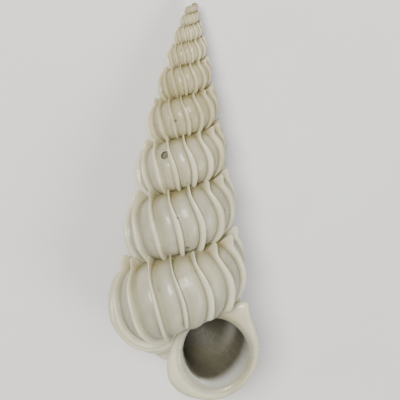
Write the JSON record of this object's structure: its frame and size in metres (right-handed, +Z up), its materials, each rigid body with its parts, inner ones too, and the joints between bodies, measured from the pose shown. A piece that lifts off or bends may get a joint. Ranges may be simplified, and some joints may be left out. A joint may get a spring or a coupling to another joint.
{
  "type": "wentletrap shell",
  "caption": "Tall, slender spiral sea shell: about nine rounded whorls crossed by close, curved, blade-like ribs, with a round mouth in a thick lip and one small bored hole.",
  "frame": {"origin": "centre of the bounding box's base: the shell lies on its back on z = 0", "axes": "+Z up, the way the mouth faces; +Y towards the apex, along the length; +X to the mouth's side of the shell"},
  "size_m": [0.0158, 0.0406, 0.0139],
  "materials": {
    "shell": "satin"
  },
  "bodies": {
    "root": {"wentletrap_shell": "shell"}
  },
  "joints": []
}
